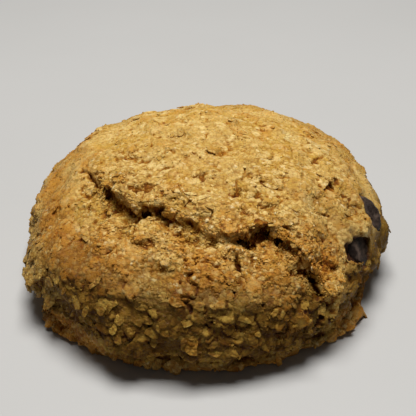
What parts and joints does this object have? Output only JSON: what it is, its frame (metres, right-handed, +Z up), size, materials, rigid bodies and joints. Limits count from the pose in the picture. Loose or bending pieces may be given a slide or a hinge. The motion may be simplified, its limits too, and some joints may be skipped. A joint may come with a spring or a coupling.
{
  "type": "chocolate chip oat cookie",
  "caption": "Thick domed oat cookie with a craggy golden-brown crust split by a baked fissure, and dark chocolate chips showing at its side.",
  "frame": {"origin": "middle of the bounding box, on the plane of the flat underside", "axes": "+Z up out of the dome, -Y towards the side with the baked fissure, +X towards the side where the chips show"},
  "size_m": [0.0786, 0.0812, 0.0299],
  "materials": {
    "dough": "rough baked oat dough, golden brown on top and toasted at the foot",
    "chocolate": "dark chocolate, satin with a slight bloom"
  },
  "bodies": {
    "root": {"cookie": "dough", "chocolate_chip_1": "chocolate", "chocolate_chip_2": "chocolate", "chocolate_chip_3": "chocolate", "chocolate_chip_4": "chocolate"}
  },
  "joints": []
}
